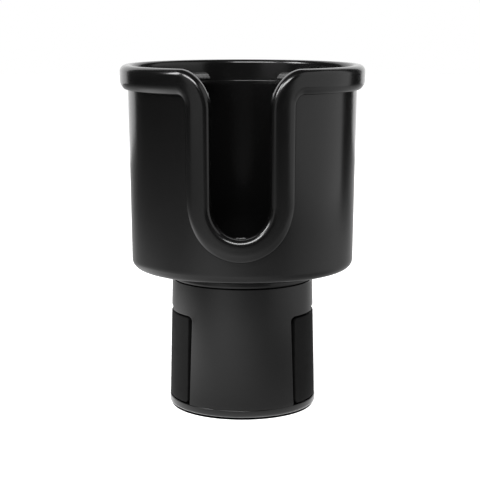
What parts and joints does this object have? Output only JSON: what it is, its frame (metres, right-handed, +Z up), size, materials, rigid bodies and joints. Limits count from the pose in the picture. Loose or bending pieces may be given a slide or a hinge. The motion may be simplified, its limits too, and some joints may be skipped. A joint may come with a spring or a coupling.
{
  "type": "cup holder expander",
  "caption": "Wide cup bowl with a handle slot on a tapered sleeve whose jaws move out to grip inside a vehicle's cup holder as the bowl is turned.",
  "frame": {"origin": "centre of the foot's underside", "axes": "+Z up along the axis that the bowl turns about, +X along the right jaw's slide, -Y towards the handle slot"},
  "size_m": [0.1148, 0.1138, 0.1615],
  "materials": {
    "black_moulding": "satin, fine grain",
    "black_rubber": "matt",
    "soft_tab": "matt, stippled",
    "slip_plastic": "natural acetal",
    "screw_steel": "zinc plated",
    "pin_steel": "ground"
  },
  "bodies": {
    "base": {"base_shell": "black_moulding", "foot_cap": "black_moulding", "cap_screws": "screw_steel"},
    "bowl": {"bowl": "black_moulding", "floor_mat": "black_rubber", "rear_right_tab": "soft_tab", "rear_left_tab": "soft_tab", "front_left_tab": "soft_tab", "front_right_tab": "soft_tab", "thrust_washer": "slip_plastic", "drag_ring": "black_rubber", "scroll_disc": "slip_plastic", "hub_screws": "screw_steel"},
    "right_jaw": {"right_carrier": "black_moulding", "right_pad": "black_rubber", "right_cam_pin": "pin_steel"},
    "left_jaw": {"left_carrier": "black_moulding", "left_pad": "black_rubber", "left_cam_pin": "pin_steel"}
  },
  "joints": [
    {"name": "bowl_turn", "type": "hinge", "parent": "base", "child": "bowl", "pos_m": [0, 0, 0.0583], "axis": [0, 0, -1], "range_deg": [0, 150]},
    {"name": "right_jaw_slide", "type": "slide", "parent": "base", "child": "right_jaw", "axis": [1, 0, 0], "range_m": [0, 0.008]},
    {"name": "left_jaw_slide", "type": "slide", "parent": "base", "child": "left_jaw", "axis": [-1, 0, 0], "range_m": [0, 0.008]}
  ],
  "couplings": [
    {"joint": "right_jaw_slide", "follows": "bowl_turn", "m_per_rad": 0.0030558},
    {"joint": "left_jaw_slide", "follows": "bowl_turn", "m_per_rad": 0.0030558}
  ]
}
